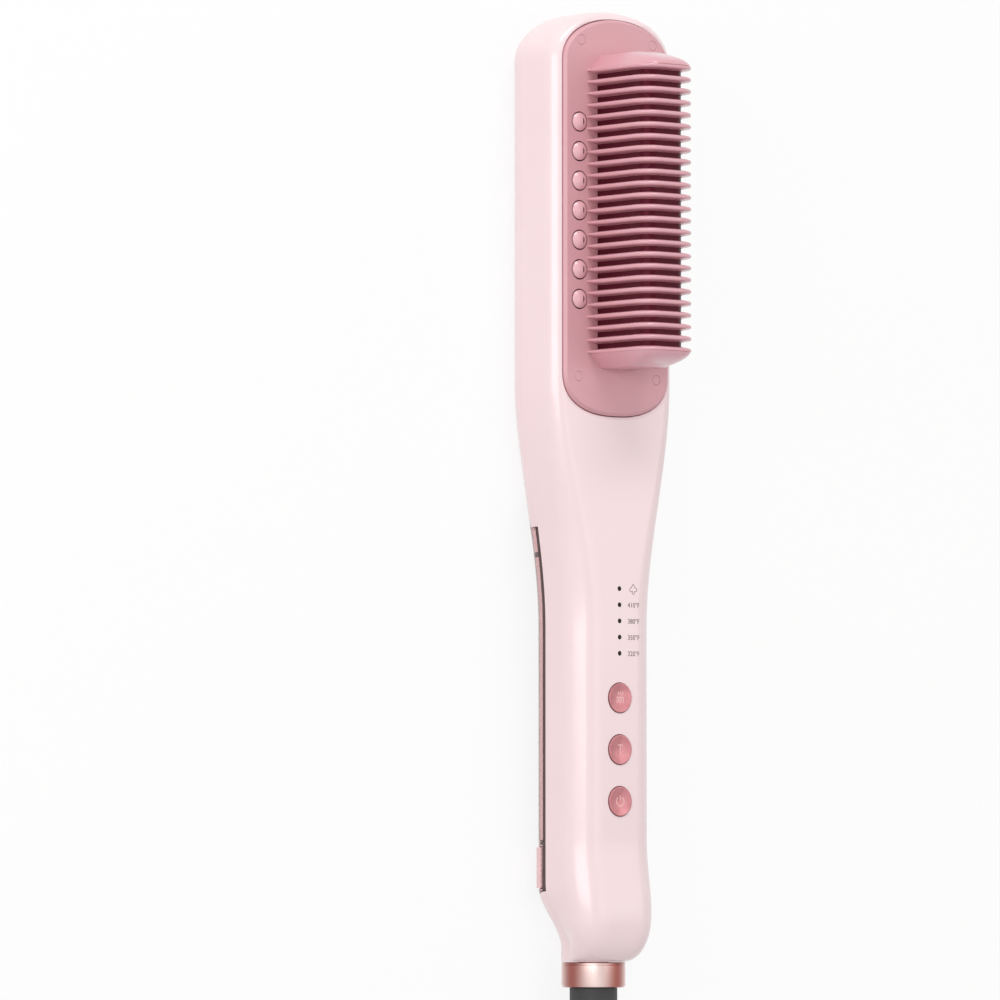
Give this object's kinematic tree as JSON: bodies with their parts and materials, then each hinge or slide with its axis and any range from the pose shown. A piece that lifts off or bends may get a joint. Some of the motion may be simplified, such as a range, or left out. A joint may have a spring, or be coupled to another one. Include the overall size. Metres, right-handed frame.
{
  "type": "steam hair straightener brush",
  "caption": "Handheld steam straightening brush: heated comb of upright fins on a long head, steam outlets, push buttons, clip-off clear water tank and swivelling mains lead.",
  "frame": {"origin": "on the surface the brush lies on, under the middle of the brush with its boot (the loose lead and plug left out)", "axes": "+Y along the body towards the head, +Z the comb side, up while it lies on its back, +X the brush's right seen from the comb side"},
  "size_m": [0.0617, 0.573, 0.0521],
  "materials": {
    "shell": "satin pale pink moulded plastic",
    "plate": "satin mauve heat-proof plastic",
    "core": "dark glossy coated aluminium",
    "rose_metal": "rose-gold spun metal",
    "tinted": "clear rose tinted plastic",
    "tube": "pale grey translucent tube",
    "steel": "steel",
    "rubber": "dark grey rubber",
    "white_part": "off-white moulding",
    "board": "green laminate",
    "ceramic": "white ceramic",
    "lens": "dark indicator window",
    "hose": "clear silicone hose",
    "brass": "nickelled brass blades"
  },
  "bodies": {
    "root": {"front_shell": "shell", "back_shell": "shell", "neck_cap": "shell", "collar_ring": "rose_metal", "face_plate": "plate", "comb_fins": "plate", "comb_cheeks": "plate", "heater_block": "core", "heater_element": "ceramic", "steam_outlets_left": "plate", "steam_outlets_right": "plate", "plate_screws": "steel", "screw_plugs": "plate", "steam_generator": "steel", "thermostat": "ceramic", "thermal_fuse": "ceramic", "steam_hose": "hose", "water_pump": "white_part", "pump_hose": "hose", "chassis": "white_part", "chassis_screws": "steel", "control_board": "board", "board_screws": "steel", "button_switches": "lens", "indicator_leds": "ceramic", "indicator_lenses": "lens", "tank_socket": "white_part", "swivel_bush": "white_part", "lead_run": "rubber", "lead_hank": "rubber", "lead_tail": "rubber", "lead_tie": "rubber", "plug_body": "rubber", "plug_blades": "brass"},
    "tank": {"tank_shell": "tinted", "tank_lid": "tinted", "suction_tube": "tube", "suction_filter": "tube", "spigot_seal": "rubber", "latch_springs": "steel"},
    "stopper": {"fill_stopper": "rubber"},
    "tab_left": {"release_tab_left": "shell"},
    "tab_right": {"release_tab_right": "shell"},
    "steam_button": {"button_steam": "rose_metal"},
    "heat_button": {"button_heat": "rose_metal"},
    "power_button": {"button_power": "rose_metal"},
    "swivel": {"swivel_hub": "rubber", "swivel_clip": "steel", "swivel_boot": "rubber"}
  },
  "joints": [
    {"name": "steam_press", "type": "slide", "parent": "root", "child": "steam_button", "axis": [0, 0, -1], "range_m": [0, 0.0005], "stiffness_N_per_m": 3000, "springref_m": -0.0003},
    {"name": "heat_press", "type": "slide", "parent": "root", "child": "heat_button", "axis": [0, 0, -1], "range_m": [0, 0.0005], "stiffness_N_per_m": 3000, "springref_m": -0.0003},
    {"name": "power_press", "type": "slide", "parent": "root", "child": "power_button", "axis": [0, 0, -1], "range_m": [0, 0.0005], "stiffness_N_per_m": 3000, "springref_m": -0.0003},
    {"name": "tank_release", "type": "slide", "parent": "root", "child": "tank", "axis": [0, 0, -1], "range_m": [0, 0.03]},
    {"name": "tab_left_squeeze", "type": "slide", "parent": "tank", "child": "tab_left", "axis": [1, 0, 0], "range_m": [0, 0.0015], "stiffness_N_per_m": 1500, "springref_m": -0.0005},
    {"name": "tab_right_squeeze", "type": "slide", "parent": "tank", "child": "tab_right", "axis": [-1, 0, 0], "range_m": [0, 0.0015], "stiffness_N_per_m": 1500, "springref_m": -0.0005},
    {"name": "stopper_pull", "type": "slide", "parent": "tank", "child": "stopper", "axis": [0, -1, 0], "range_m": [0, 0.004]},
    {"name": "lead_swivel", "type": "hinge", "parent": "root", "child": "swivel", "pos_m": [0, -0.121, 0.0145], "axis": [0, 1, 0], "continuous": true}
  ]
}
